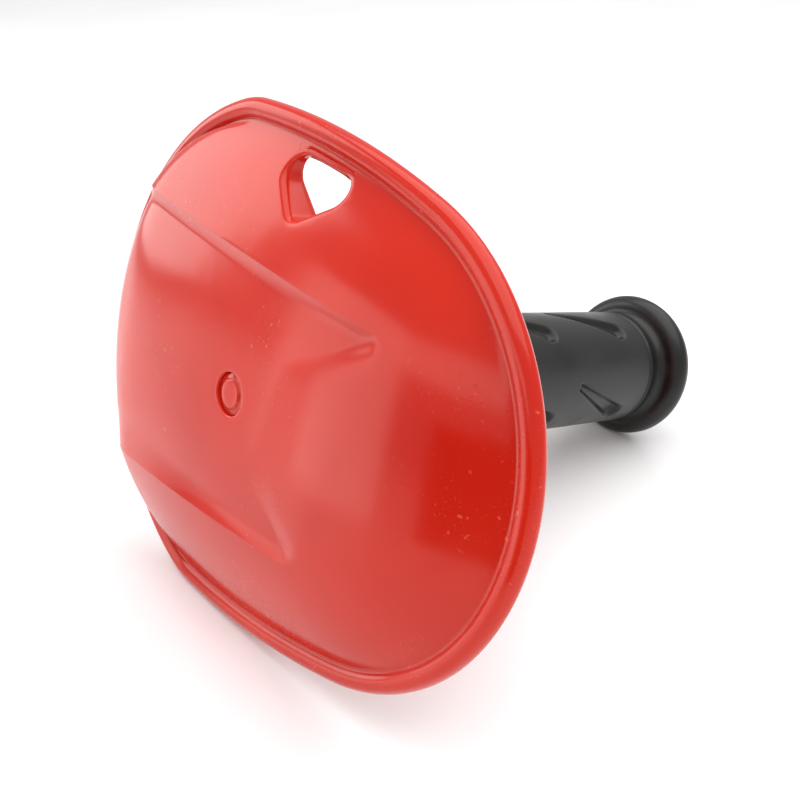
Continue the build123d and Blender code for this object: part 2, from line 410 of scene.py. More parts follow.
@dataclass(frozen=True)
class MouldedGlossAbs(Finish):
    """Injection-moulded ABS from a polished tool.

    It gives the eye a deep, even red under a clear mirror-like skin, with faint flow waves,
    hairline rubs and a few pale scuffs from handling. The hairlines are drawn coarser than real
    ones, so that they show.
    """

    colour: str = "D4230E"
    deep_colour: str = "C81B0B"
    rubbed_colour: str = "E86A5C"
    skin_tint: str = "FFF4E8"
    ior: float = 1.46
    roughness: float = 0.16
    rubbed_roughness: float = 0.16  # added where the hairlines are
    tint_mm: float = 45.0
    wave_mm: float = 9.0
    scuff_mm: float = 26.0
    hairline_mm: float = 0.5
    hairline_stretch: float = 0.06
    hairline_turn: tuple[float, float, float] = (0.3, 0.5, 0.9)
    speck_mm: float = 1.6

    def skin(self, tree: bpy.types.NodeTree, where: bpy.types.NodeSocket) -> dict[str, Any]:
        """Makes the tint, the rubbed specks, the hairlines and the flow waves.

        Args:
            tree: The material's node tree.
            where: The Object coordinates that the patterns read.

        Returns:
            What goes into the shader's inputs.
        """
        tint = add_node(tree, Node.NOISE, Vector=where, Scale=blobs(self.tint_mm), Detail=3.0)
        colour = add_node(
            tree, Node.RAMP, stops=((0.35, self.deep_colour), (0.62, self.colour)),
            Fac=tint.outputs["Fac"])
        # pale specks, only inside the patches that touch other things
        speck = add_node(tree, Node.NOISE, Vector=where, Scale=blobs(self.speck_mm), Detail=1.0)
        patch = add_node(tree, Node.NOISE, Vector=where, Scale=blobs(self.scuff_mm), Detail=2.0)
        few = add_node(
            tree, Node.RANGE, SMOOTHED, Value=speck.outputs["Fac"], From_Min=0.70, From_Max=0.76)
        near = add_node(
            tree, Node.RANGE, SMOOTHED, Value=patch.outputs["Fac"], From_Min=0.52, From_Max=0.62,
            To_Max=0.5)
        rubbed = add_node(
            tree, Node.MATH, TIMES, in0=few.outputs["Result"], in1=near.outputs["Result"])
        # a Mix node's input 0 is the share, and 6 and 7 are its two colours
        mixed = add_node(
            tree, Node.MIX, {"data_type": "RGBA"}, in0=rubbed.outputs[0],
            in6=colour.outputs["Color"], in7=linear(self.rubbed_colour))
        # hairlines: noise stretched along one direction, only where the patches are
        stretched = add_node(
            tree, Node.MAPPING, Vector=where, Rotation=self.hairline_turn,
            Scale=(1.0, self.hairline_stretch, 1.0))
        hair = add_node(
            tree, Node.NOISE, Vector=stretched.outputs[0], Scale=blobs(self.hairline_mm),
            Detail=2.0)
        line = add_node(
            tree, Node.RANGE, SMOOTHED, Value=hair.outputs["Fac"], From_Min=0.58, From_Max=0.72)
        wide = add_node(
            tree, Node.RANGE, SMOOTHED, Value=patch.outputs["Fac"], From_Min=0.45, From_Max=0.65)
        rub = add_node(
            tree, Node.MATH, TIMES, in0=line.outputs["Result"], in1=wide.outputs["Result"])
        rough = add_node(
            tree, Node.RANGE, SMOOTHED, Value=rub.outputs[0], To_Min=self.roughness,
            To_Max=self.roughness + self.rubbed_roughness)
        wave = add_node(tree, Node.NOISE, Vector=where, Scale=blobs(self.wave_mm), Detail=1.0)
        bump = add_node(
            tree, Node.BUMP, Height=wave.outputs["Fac"], Strength=0.05, Distance=0.001)
        fine = add_node(
            tree, Node.BUMP, Height=rub.outputs[0], Normal=bump.outputs[0], Strength=0.08,
            Distance=0.0002)
        return {
            "Base_Color": mixed.outputs[2],
            "Roughness": rough.outputs["Result"],
            "IOR": self.ior,
            "Specular_Tint": linear(self.skin_tint),
            "Subsurface_Weight": 0.06,
            "Subsurface_Radius": (0.004, 0.001, 0.0006),
            "Subsurface_Scale": 1.0,
            "Coat_Weight": 0.0,
            "Normal": fine.outputs[0],
        }


@dataclass(frozen=True)
class MouldedRubber(Finish):
    """Compression-moulded thermoplastic rubber.

    It gives the eye a near-black satin with the fine grain of a blasted tool, a dusty bloom and
    slightly shinier rubbed places. The grain is drawn coarser than the real one, so that it
    shows.
    """

    colour: str = "121211"
    bloom: str = "1E1F1D"
    rubbed_roughness: float = 0.28
    roughness: float = 0.40
    ior: float = 1.44
    grain_mm: float = 0.45
    patch_mm: float = 14.0

    def skin(self, tree: bpy.types.NodeTree, where: bpy.types.NodeSocket) -> dict[str, Any]:
        """Makes the bloom's patches and the grain.

        Args:
            tree: The material's node tree.
            where: The Object coordinates that the patterns read.

        Returns:
            What goes into the shader's inputs.
        """
        patch = add_node(
            tree, Node.NOISE, Vector=where, Scale=blobs(self.patch_mm), Detail=4.0, Roughness=0.6)
        colour = add_node(
            tree, Node.RAMP, stops=((0.35, self.colour), (0.7, self.bloom)),
            Fac=patch.outputs["Fac"])
        rough = add_node(
            tree, Node.RANGE, SMOOTHED, Value=patch.outputs["Fac"], From_Min=0.3, From_Max=0.7,
            To_Min=self.rubbed_roughness, To_Max=self.roughness)
        grain = add_node(
            tree, Node.NOISE, Vector=where, Scale=blobs(self.grain_mm), Detail=2.0, Roughness=0.6)
        bump = add_node(
            tree, Node.BUMP, Height=grain.outputs["Fac"], Strength=0.35, Distance=0.0001)
        return {
            "Base_Color": colour.outputs["Color"],
            "Roughness": rough.outputs["Result"],
            "IOR": self.ior,
            "Normal": bump.outputs[0],
        }


@dataclass(frozen=True)
class MattePlastic(Finish):
    """Moulded polypropylene with a spark-eroded texture.

    It gives the eye a dull, evenly grained black. The grain is drawn coarser than the real one,
    so that it shows.
    """

    colour: str = "232323"
    worn_colour: str = "2F2F2E"
    ior: float = 1.49
    grain_mm: float = 0.6

    def skin(self, tree: bpy.types.NodeTree, where: bpy.types.NodeSocket) -> dict[str, Any]:
        """Makes the even grain.

        Args:
            tree: The material's node tree.
            where: The Object coordinates that the patterns read.

        Returns:
            What goes into the shader's inputs.
        """
        grain = add_node(tree, Node.NOISE, Vector=where, Scale=blobs(self.grain_mm), Detail=3.0)
        colour = add_node(
            tree, Node.RAMP, stops=((0.3, self.colour), (0.8, self.worn_colour)),
            Fac=grain.outputs["Fac"])
        rough = add_node(
            tree, Node.RANGE, SMOOTHED, Value=grain.outputs["Fac"], From_Min=0.2, From_Max=0.8,
            To_Min=0.48, To_Max=0.62)
        bump = add_node(
            tree, Node.BUMP, Height=grain.outputs["Fac"], Strength=0.4, Distance=0.0001)
        return {
            "Base_Color": colour.outputs["Color"],
            "Roughness": rough.outputs["Result"],
            "IOR": self.ior,
            "Normal": bump.outputs[0],
        }


@dataclass(frozen=True)
class WorkedMetal(Finish):
    """Zinc-plated steel or drawn aluminium.

    It gives the eye a bright, slightly cloudy metal with fine lines along the way it was
    worked. The lines are drawn coarser than real ones, so that they show.
    """

    colour: str = "C9C9C4"
    dark: str = "9A9A96"
    roughness: float = 0.3
    line_mm: float = 0.25
    line_stretch: float = 0.05
    cloud_mm: float = 6.0

    def skin(self, tree: bpy.types.NodeTree, where: bpy.types.NodeSocket) -> dict[str, Any]:
        """Makes the cloudy tone and the worked lines.

        Args:
            tree: The material's node tree.
            where: The Object coordinates that the patterns read.

        Returns:
            What goes into the shader's inputs.
        """
        stretched = add_node(
            tree, Node.MAPPING, Vector=where, Scale=(1.0, self.line_stretch, 1.0))
        line = add_node(
            tree, Node.NOISE, Vector=stretched.outputs[0], Scale=blobs(self.line_mm), Detail=2.0)
        cloud = add_node(tree, Node.NOISE, Vector=where, Scale=blobs(self.cloud_mm), Detail=3.0)
        colour = add_node(
            tree, Node.RAMP, stops=((0.3, self.dark), (0.7, self.colour)),
            Fac=cloud.outputs["Fac"])
        rough = add_node(
            tree, Node.RANGE, SMOOTHED, Value=line.outputs["Fac"], From_Min=0.3, From_Max=0.7,
            To_Min=self.roughness, To_Max=self.roughness + 0.12)
        bump = add_node(
            tree, Node.BUMP, Height=line.outputs["Fac"], Strength=0.12, Distance=0.00005)
        return {
            "Base_Color": colour.outputs["Color"],
            "Roughness": rough.outputs["Result"],
            "Metallic": 1.0,
            "Normal": bump.outputs[0],
        }


@dataclass(frozen=True)
class StudioBoard(Finish):
    """Laminated white board that the tool lies on; it gives the eye a pale, soft sheen."""

    colour: str = "FCFCFC"
    cloud_colour: str = "F8F8F8"
    roughness: float = 0.22
    ior: float = 1.4
    cloud_mm: float = 120.0

    def skin(self, tree: bpy.types.NodeTree, where: bpy.types.NodeSocket) -> dict[str, Any]:
        """Makes the board's faint clouds.

        Args:
            tree: The material's node tree.
            where: The Object coordinates that the patterns read.

        Returns:
            What goes into the shader's inputs.
        """
        cloud = add_node(tree, Node.NOISE, Vector=where, Scale=blobs(self.cloud_mm), Detail=2.0)
        colour = add_node(
            tree, Node.RAMP, stops=((0.3, self.cloud_colour), (0.7, self.colour)),
            Fac=cloud.outputs["Fac"])
        return {
            "Base_Color": colour.outputs["Color"],
            "Roughness": self.roughness,
            "IOR": self.ior,
        }


@dataclass(frozen=True)
class StageCard(Finish):
    """Dull black card of the studio, which may also glow white like a lit panel."""

    colour: str = "050505"
    roughness: float = 0.9
    glow: float = 0.0

    def skin(self, tree: bpy.types.NodeTree, where: bpy.types.NodeSocket) -> dict[str, Any]:
        """Gives the card's even colour and glow; it has no pattern.

        Args:
            tree: The material's node tree.
            where: The Object coordinates, which the card does not read.

        Returns:
            What goes into the shader's inputs.
        """
        return {
            "Base_Color": linear(self.colour),
            "Roughness": self.roughness,
            "Emission_Color": linear("FFFFFF"),
            "Emission_Strength": self.glow,
        }


# --------------------------------------------------------------------------- the moulded head
class Face(Enum):
    """The two faces of the head's wall."""

    OUTSIDE = "outside"
    INSIDE = "inside"


@dataclass
class HeadShell:
    """The dished head: rolled rim, dome with a sunk centre panel, hanging hole and socket."""

    tool: LyingTool
    # outline and dome
    half_width: float = 58.3
    widest_at: float = -20.0
    nose_reach: float = 75.0
    nose_radius: float = 52.0
    tail_reach: float = 69.5
    tail_radius: float = 60.0
    corner_radius: float = 20.0
    corner_power: float = 0.7
    dome_height: float = 13.95
    wall: float = 3.0
    side_power: float = 3.0
    nose_power: float = 3.2
    tail_power: float = 9.7
    # rolled rim
    bead_radius: float = 2.5
    bead_lap: float = 1.2
    parting_ridge: float = 0.12
    # sunk panel
    panel_half_width: float = 30.0
    panel_slope: float = 0.089
    panel_nose_end: float = 37.5
    panel_end_slant: float = 0.22
    panel_tail_run: float = 90.0
    panel_corner: float = 6.0
    panel_limit: float = 0.955  # most of the foot's reach that the panel may take
    panel_depth: float = 1.7
    step_width: float = 4.0
    step_ease: float = 1.8
    low_step_width: float = 10.0
    low_step_from: float = 10.0  # the lower step widens from here towards the tail
    low_step_over: float = 70.0
    end_ramp: float = 25.0
    end_ramp_least: float = 0.35  # share of the ramp's length that is left at the corners
    end_ramp_half_width: float = 26.0
    end_ramp_fade: float = 14.0
    foot_fade: float = 0.035  # share of the reach over which the panel fades at the rim
    # hanging hole with its collar
    hole_corners: tuple[tuple[float, float], ...] = ((22.2, 49.7), (-9.4, 53.3), (6.3, 39.0))
    hole_corner: float = 3.4
    hole_centre: tuple[float, float] = (6.2, 47.8)
    hole_lip: float = 1.35
    hole_turns: tuple[float, ...] = (48.0, 74.0, 82.5, 91.0, 112.0)
    collar_wall: float = 2.0
    collar_foot: float = 0.3
    collar_round: float = 0.5
    # recess for the cap, socket boss and ribs
    recess_radius: float = 4.8
    recess_floor: float = 5.0
    recess_round: float = 0.6
    boss_radius: float = 15.0
    boss_foot: float = -18.0
    boss_fillet: float = 2.0
    socket_radius: float = 11.05
    socket_floor: float = 1.5
    socket_middle: float = -8.0
    rib_count: int = 6
    rib_thickness: float = 2.4
    rib_reach: float = 34.0
    rib_tip: float = 3.0
    rib_tip_rise: float = 1.2
    # fineness of the mesh
    columns: int = 640
    band_rows: int = 34
    band_crowding: float = 1.5
    hub_rows: int = 22
    hub_crowding: float = 0.9
    inner_band_rows: int = 22
    inner_hub_rows: int = 8
    inner_edge: float = 0.92  # where the inside's band ends, as a share of the panel's reach
    outer_foot_gap: float = 0.55  # from the bead to the dome's first row
    inner_foot_gap: float = 0.6
    halvings: int = 28
    highest_share: float = 0.9995
    rim_smoothings: int = 6
    edge_steps: tuple[float, ...] = (0.12, 0.3, 0.55, 0.9, 1.3, 1.8, 2.4, 3.1, 3.9, 5.0)

    def __post_init__(self) -> None:
        """Works out the outlines that the rest is measured from."""
        self.angles = np.arange(self.columns) / self.columns * TURN
        self.way = np.column_stack([np.cos(self.angles), np.sin(self.angles)])
        self.lap = self.bead_radius - self.bead_lap
        self.rim_xy, self.rim_out = self.rim_columns()
        self.hole = rounded_polygon(self.hole_corners, self.hole_corner)

    def level_reach(self, angle: np.ndarray, share: np.ndarray, inset: float) -> np.ndarray:
        """Distance from the handle axis to the dome's outline at a share of its height.

        The outline is a nose arc, a long side arc, a corner arc and a tail arc, each tangent to
        the next, and the same mirrored. Going up, the width shrinks as (1 - s)^(1/side power),
        and the nose and the tail by their own powers, so the tail stays full the longest.

        Args:
            angle: Direction from the handle axis, radians.
            share: Share s of the dome's height.
            inset: How far the whole outline is drawn in.

        Returns:
            The distance in each direction.
        """
        side = (1.0 - share) ** (1.0 / self.side_power)
        foot = self.lap + inset
        nose = (self.nose_reach - foot) * (1.0 - share) ** (1.0 / self.nose_power)
        tail = (self.tail_reach - foot) * (1.0 - share) ** (1.0 / self.tail_power)
        width = (self.half_width - foot) * side
        nose_arc = (self.nose_radius - foot) * side
        tail_arc = self.tail_radius - foot
        corner_arc = (self.corner_radius - foot) * side**self.corner_power
        station = self.widest_at * side + (nose - tail) / 2.0 * (1.0 - side)
        run = nose - nose_arc - station
        side_arc = (run**2 + width**2 - nose_arc**2) / (2.0 * (width - nose_arc))
        side_x, side_y = station, width - side_arc
        nose_x, tail_x = nose - nose_arc, tail_arc - tail
        # the corner arc's centre, where circles round the side's and the tail's centres cross
        first, second = side_arc - corner_arc, tail_arc - corner_arc
        gap_x, gap_y = tail_x - side_x, -side_y
        length = np.hypot(gap_x, gap_y)
        along = (length**2 + first**2 - second**2) / (2.0 * length)
        up = np.sqrt(np.maximum(first**2 - along**2, 0.0))
        corner_x = side_x + (gap_x * along - gap_y * up) / length
        corner_y = side_y + (gap_y * along + gap_x * up) / length

        def heading(
            x: np.ndarray, y: np.ndarray, to_x: np.ndarray, to_y: np.ndarray, radius: np.ndarray
        ) -> np.ndarray:
            """Direction of the point at a radius from one centre towards another centre."""
            away = radius / np.hypot(to_x - x, to_y - y)
            return np.arctan2(y + (to_y - y) * away, x + (to_x - x) * away)

        join = heading(side_x, side_y, nose_x, 0.0 * nose_x, side_arc)
        shoulder = heading(side_x, side_y, corner_x, corner_y, side_arc)
        heel = heading(tail_x, 0.0 * tail_x, corner_x, corner_y, tail_arc)
        around = np.abs(np.mod(angle + math.pi, TURN) - math.pi)
        zones = [around < join, around < shoulder, around < heel]
        x = np.select(zones, [nose_x, side_x, corner_x], tail_x)
        y = np.select(zones, [0.0 * nose_x, side_y, corner_y], 0.0)
        radius = np.select(zones, [nose_arc, side_arc, corner_arc], tail_arc)
        toward = x * np.cos(around) + y * np.sin(around)
        return toward + np.sqrt(np.maximum(radius**2 - x**2 - y**2 + toward**2, 0.0))

    def rim_columns(self) -> tuple[np.ndarray, np.ndarray]:
        """Works out the rim's centre line from the dome's outline at its foot.

        Returns:
            The bead's centre point and the outward direction at every column.
        """
        reach = self.level_reach(self.angles, np.zeros(self.columns), -self.lap)
        xy = reach[:, None] * self.way
        run = np.roll(xy, -1, axis=0) - np.roll(xy, 1, axis=0)
        run /= np.linalg.norm(run, axis=1, keepdims=True)
        out = np.column_stack([run[:, 1], -run[:, 0]])
        for _ in range(self.rim_smoothings):
            out = (np.roll(out, 1, axis=0) + 2 * out + np.roll(out, -1, axis=0)) / 4.0
        return xy, out / np.linalg.norm(out, axis=1, keepdims=True)

    def panel_inside(self, xy: np.ndarray) -> tuple[np.ndarray, np.ndarray]:
        """Distances inside the panel's edges, square to each edge for the long ones.

        Args:
            xy: Plan positions.

        Returns:
            The distance inside the long edges, and the distance inside the nose end.
        """
        cosine = 1.0 / math.hypot(1.0, self.panel_slope)
        side = self.panel_half_width - self.panel_slope * xy[..., 0] - np.abs(xy[..., 1])
        return side * cosine, self.panel_nose_end + self.panel_end_slant * xy[..., 1] - xy[..., 0]

    def sunk(self, xy: np.ndarray) -> np.ndarray:
        """Share of the panel's depth.

        The long edges are steps, 1 - (1 - t)^ease, that start crisply and ease into the floor;
        the lower one is wider towards the tail. The nose end fades in over a ramp, long in the
        middle and short at the corners, so that it has no edge of its own.

        Args:
            xy: Plan positions.

        Returns:
            0 outside the panel, 1 on its floor.
        """
        side, end = self.panel_inside(xy)
        radius = self.panel_corner
        corner = radius - np.hypot(np.maximum(radius - side, 0.0), np.maximum(radius - end, 0.0))
        inside = np.where((side < radius) & (end < radius), corner, np.minimum(side, end))
        low = xy[..., 1] < 0.0
        wide = smooth((self.low_step_from - xy[..., 0]) / self.low_step_over) * low
        width = self.step_width + (self.low_step_width - self.step_width) * wide
        crisp = 1.0 - (1.0 - np.clip(inside / width, 0.0, 1.0)) ** self.step_ease
        middle = smooth((self.end_ramp_half_width - np.abs(xy[..., 1])) / self.end_ramp_fade)
        ramp = self.end_ramp_least + (1.0 - self.end_ramp_least) * middle
        return crisp * smooth(end / (self.end_ramp * ramp))

    def height(self, xy: np.ndarray, face: Face) -> np.ndarray:
        """Dome height at plan positions, less the panel's step on the outside.

        The share of the height is the one whose outline passes through the position, found by
        halving, and the height is that share of the crest. The inside face is the same dome,
        drawn in and lowered by the wall.

        Args:
            xy: Plan positions.
            face: Face of the wall.

        Returns:
            The height of the face at each position.
        """
        inset = self.wall if face is Face.INSIDE else 0.0
        crest = self.dome_height - inset
        angle = np.arctan2(xy[..., 1], xy[..., 0])
        reach = np.hypot(xy[..., 0], xy[..., 1])
        low, high = np.zeros(reach.shape), np.full(reach.shape, self.highest_share)
        for _ in range(self.halvings):
            middle = (low + high) / 2.0
            beyond = self.level_reach(angle, middle, inset) > reach
            low, high = np.where(beyond, middle, low), np.where(beyond, high, middle)
        z = crest * (low + high) / 2.0
        if face is Face.INSIDE:
            return z
        foot = self.level_reach(angle, np.zeros(reach.shape), inset)
        return z - self.panel_depth * self.sunk(xy) * smooth((1.0 - reach / foot) / self.foot_fade)

    def with_height(self, plan: np.ndarray, face: Face) -> np.ndarray:
        """Plan positions with the dome's height as the third value."""
        return np.concatenate([plan, self.height(plan, face)[..., None]], axis=-1)

    def height_at(self, radius: float, face: Face) -> float:
        """Height of a face at a distance from the handle axis, towards the nose."""
        return float(self.height(np.array([[radius, 0.0]]), face)[0])

    def panel_reach(self) -> np.ndarray:
        """Works out the panel's outline, at most just inside the dome's foot.

        Returns:
            The distance to it in each column's direction.
        """
        half, end = self.panel_half_width, self.panel_nose_end
        slope, slant, run = self.panel_slope, self.panel_end_slant, self.panel_tail_run
        top = (end + slant * half) / (1.0 + slant * slope)
        low = (end - slant * half) / (1.0 - slant * slope)
        corners = (
            (top, half - slope * top),
            (-run, half + run * slope),
            (-run, -half - run * slope),
            (low, slope * low - half),
        )
        limit = self.level_reach(self.angles, np.zeros(self.columns), 0.0) * self.panel_limit
        reader = polar_reader(rounded_polygon(corners, self.panel_corner))
        return np.minimum(reader(self.angles), limit)

    def plan(self, face: Face) -> np.ndarray:
        """Plan positions of the dome's rows, from the foot to the recess or to the boss.

        A band runs from the foot to the panel's edge, with its rows crowded towards the edge,
        and even rows go on to the middle. Outside, rows at set distances inside the panel's
        edge, measured square to it, come between the two.

        Args:
            face: Face of the wall.

        Returns:
            Points, rows by columns by 2.
        """
        reach, way = self.panel_reach(), self.way
        if face is Face.INSIDE:
            foot = self.rim_xy - self.rim_out * (self.lap + self.wall + self.inner_foot_gap)
            edge = reach[:, None] * way * self.inner_edge
            hub = (self.boss_radius + self.boss_fillet) * way
            share = 1.0 - np.linspace(1.0, 0.0, self.inner_band_rows) ** self.band_crowding
            inward = np.linspace(0.0, 1.0, self.inner_hub_rows + 1)[1:, None, None]
            band = foot + (edge - foot) * share[:, None, None]
            return np.concatenate([band, edge + (hub - edge) * inward])
        foot = self.rim_xy - self.rim_out * (self.bead_radius + self.outer_foot_gap)
        edge = reach[:, None] * way
        share = 1.0 - np.linspace(1.0, 0.0, self.band_rows) ** self.band_crowding
        band = foot + (edge - foot) * share[:, None, None]
        side, end = self.panel_inside(edge)
        square = np.where(side < end, np.abs(way[:, 1]), np.abs(way[:, 0]))
        stepped = reach - np.array(self.edge_steps)[:, None] / np.clip(square, 0.4, 1.0)
        rows = stepped[..., None] * way
        hub = (self.recess_radius + self.recess_round) * way
        inward = np.linspace(0.0, 1.0, self.hub_rows + 1)[1:, None, None] ** self.hub_crowding
        return np.concatenate([band, rows, rows[-1] + (hub - rows[-1]) * inward])

    def open_hole(
        self, plan: np.ndarray, rows: tuple[float, ...], grow: float
    ) -> tuple[np.ndarray, np.ndarray, np.ndarray]:
        """Spreads the grid apart so that a block of its cells takes the hole's outline.

        Cells near the block are moved along rays: a point between the block and an outer
        rectangle keeps its share of the way, but the block's edge lands on the outline.

        Args:
            plan: Plan positions, rows by columns by 2.
            rows: Outer first, block first, middle, block last and outer last row. The same
                limits round the head are in hole_turns, in degrees.
            grow: How far outside the hole's outline the grid stops.

        Returns:
            The new plan, the cells to keep, and the block's edge as row and column pairs.
        """
        row_count, column_count = plan.shape[:2]
        columns = np.round(np.array(self.hole_turns) / 360.0 * column_count)
        marks = np.array([-2.0, -1.0, 0.0, 1.0, 2.0])
        row, column = np.meshgrid(
            np.arange(row_count, dtype=float), np.arange(column_count, dtype=float), indexing="ij")
        a = np.interp(column, columns, marks, left=-9.0, right=9.0)
        b = np.interp(row, rows, marks, left=-9.0, right=9.0)
        far = np.maximum(np.abs(a), np.abs(b))
        moved = (far >= 0.999) & (far <= 2.0)
        scale = 2.0 / np.maximum(far, 1e-6)
        out_row = np.interp(b * scale, marks, rows)
        out_column = np.interp(a * scale, marks, columns)

        def read(r: np.ndarray, c: np.ndarray) -> np.ndarray:
            """Mixes the four plan positions round a fractional row and column, by its parts.

            Args:
                r: Rows.
                c: Columns.

            Returns:
                The mixed positions.
            """
            r0 = np.minimum(np.floor(r).astype(int), row_count - 2)
            c0 = np.floor(c).astype(int)
            fr, fc = (r - r0)[..., None], (c - c0)[..., None]
            c1 = (c0 + 1) % column_count
            return (
                plan[r0, c0] * (1 - fr) * (1 - fc) + plan[r0, c1] * (1 - fr) * fc
                + plan[r0 + 1, c0] * fr * (1 - fc) + plan[r0 + 1, c1] * fr * fc
            )

        centre = np.array(self.hole_centre)
        outer = read(out_row[moved], out_column[moved])
        inner = polar_point(self.grown(grow), self.hole_centre, outer)
        share = np.clip(far[moved] - 1.0, 0.0, 1.0)[:, None]
        fresh = plan.copy()
        fresh[moved] = inner + (outer - inner) * share
        r0, r1 = int(rows[1]), int(rows[3])
        c0, c1 = int(columns[1]), int(columns[3])
        keep = np.ones((row_count - 1, column_count), bool)
        keep[r0:r1, c0:c1] = False
        loop = [(r0, c) for c in range(c0, c1)] + [(r, c1) for r in range(r0, r1)]
        loop += [(r1, c) for c in range(c1, c0, -1)] + [(r, c0) for r in range(r1, r0, -1)]
        return fresh, keep, np.array(loop)

    def grown(self, amount: float) -> np.ndarray:
        """Moves the hole's outline outwards, square to itself.

        Args:
            amount: How far.

        Returns:
            The moved outline, n by 2.
        """
        run = np.roll(self.hole, -1, axis=0) - np.roll(self.hole, 1, axis=0)
        run /= np.linalg.norm(run, axis=1, keepdims=True)
        return self.hole + np.column_stack([run[:, 1], -run[:, 0]]) * amount

    def bead(self) -> np.ndarray:
        """Carries the bead's circle round its centre line, with a fine parting ridge.

        A point is the centre line plus the outward direction times cos(turn) and the height
        sin(turn), both times the bead's radius. The turn runs from the groove beside the dome
        over the top and the outside to the underside.

        Returns:
            Rim rows, rows by columns by 3.
        """
        over = np.linspace(158.0, 10.0, 14)
        under = np.linspace(4.0, -158.0, 15)
        turn = np.radians(np.concatenate([over, under]))
        ridge = self.parting_ridge * bell(turn + math.radians(4.0), math.radians(9.0))
        reach = self.bead_radius - self.parting_ridge + ridge
        out, up = np.cos(turn) * reach, np.sin(turn) * reach
        return with_z(self.rim_xy[None] + self.rim_out[None] * out[:, None, None], up)

    def recess(self) -> np.ndarray:
        """Turns the recess for the cap, from the dome's middle down its wall to its floor.

        Returns:
            Rows, rows by columns by 3.
        """
        radius, deep = self.recess_radius, self.recess_floor
        top = self.height_at(radius + self.recess_round, Face.OUTSIDE)
        profile = (
            (radius + 0.35, top - 0.03), (radius + 0.12, top - 0.13), (radius, top - 0.35),
            (radius, top - 1.2), (radius, deep), (3.0, deep), (1.0, deep),
        )
        return turned(profile, self.columns)

    def boss(self) -> np.ndarray:
        """Turns the socket boss, from under the dome round its foot and up the socket.

        Returns:
            Rows, rows by columns by 3.
        """
        radius, foot, bore = self.boss_radius, self.boss_foot, self.socket_radius
        roof = self.height_at(radius + self.boss_fillet, Face.INSIDE)
        profile = (
            (radius + 1.0, roof - 0.25), (radius + 0.3, roof - 0.9), (radius, roof - 2.0),
            (radius, roof - 8.0), (radius, self.socket_middle), (radius, foot + 0.8),
            (radius - 0.25, foot + 0.2), (radius - 0.8, foot), (bore + 0.5, foot),
            (bore, foot + 0.5), (bore, self.socket_middle), (bore, self.socket_floor),
            (6.0, self.socket_floor),
        )
        return turned(profile, self.columns)

    def hole_wall(self, outer_xyz: np.ndarray, inner_xyz: np.ndarray) -> np.ndarray:
        """Lip, bore and collar of the hole, between the edges of the two faces.

        The lip is a quadratic curve from the surface to the bore, tangent to both. The bore goes
        straight down, and half a circle joins it to the collar's outside.

        Args:
            outer_xyz: Edge of the outside face, n by 3.
            inner_xyz: Edge of the inside face, n by 3.

        Returns:
            Rows, rows by n by 3.
        """
        start = outer_xyz
        inward = start[:, :2] - polar_point(self.hole, self.hole_centre, start[:, :2])
        lip = np.linalg.norm(inward, axis=1, keepdims=True)
        bore_xy = start[:, :2] - inward
        ahead = self.height(start[:, :2] - inward * 0.5, Face.OUTSIDE)
        slope = (ahead - start[:, 2]) / (lip[:, 0] * 0.5)
        corner_z = start[:, 2] + slope * lip[:, 0]
        control = np.column_stack([bore_xy, corner_z])
        end = np.column_stack([bore_xy, corner_z - self.hole_lip])
        t = np.linspace(0.0, 1.0, 9)[1:, None, None]
        lip_rows = (1 - t) ** 2 * start + 2 * t * (1 - t) * control + t**2 * end
        foot = self.collar_foot + self.collar_round
        depth = np.linspace(0.0, 1.0, 6)[1:, None]
        wall_z = end[:, 2] + (foot - end[:, 2]) * depth
        wall_xy = np.broadcast_to(bore_xy, wall_z.shape + (2,))
        wall = np.concatenate([wall_xy, wall_z[..., None]], axis=-1)
        turn = np.linspace(0.0, math.pi, 7)[1:]
        middle, half = (bore_xy + inner_xyz[:, :2]) / 2, (bore_xy - inner_xyz[:, :2]) / 2
        under = with_z(
            middle + half * np.cos(turn)[:, None, None], foot - self.collar_round * np.sin(turn))
        return np.concatenate([lip_rows, wall, under])

    def ribs(self, mesher: Mesher) -> None:
        """Adds the stiffening ribs: thin plates that run out from the boss under the dome.

        A rib is a closed section carried along its run: its roof follows the dome's inside, a
        little within the wall, and its foot is flat, with eased edges and a raised tip.

        Args:
            mesher: Where the ribs go.
        """
        run = np.linspace(self.boss_radius - 1.0, self.rib_reach, 12)
        foot_z = self.rib_tip_rise * smooth((run - self.rib_reach + self.rib_tip) / self.rib_tip)
        section = np.array([1.0, 1.0, 0.85, 0.4, -0.4, -0.85, -1.0, -1.0])
        on_roof = np.array([1.0, 0.0, 0.0, 0.0, 0.0, 0.0, 0.0, 1.0])
        ease = np.array([0.0, 0.35, 0.12, 0.0, 0.0, 0.12, 0.35, 0.0])
        across = section * self.rib_thickness / 2
        for number in range(self.rib_count):
            turn = TURN * number / self.rib_count
            out = np.array([math.cos(turn), math.sin(turn)])
            side = np.array([-out[1], out[0]])
            plan = run[:, None, None] * out + across[None, :, None] * side
            roof = self.height(plan, Face.INSIDE) + 1.0
            z = roof * on_roof + (foot_z[:, None] + ease) * (1 - on_roof)
            rows = np.concatenate([plan, z[..., None]], axis=-1)
            numbers = mesher.add(rows)
            mesher.weave(numbers)
            mesher.close(numbers[0], rows[0].mean(axis=0), flip=True)
            mesher.close(numbers[-1], rows[-1].mean(axis=0))

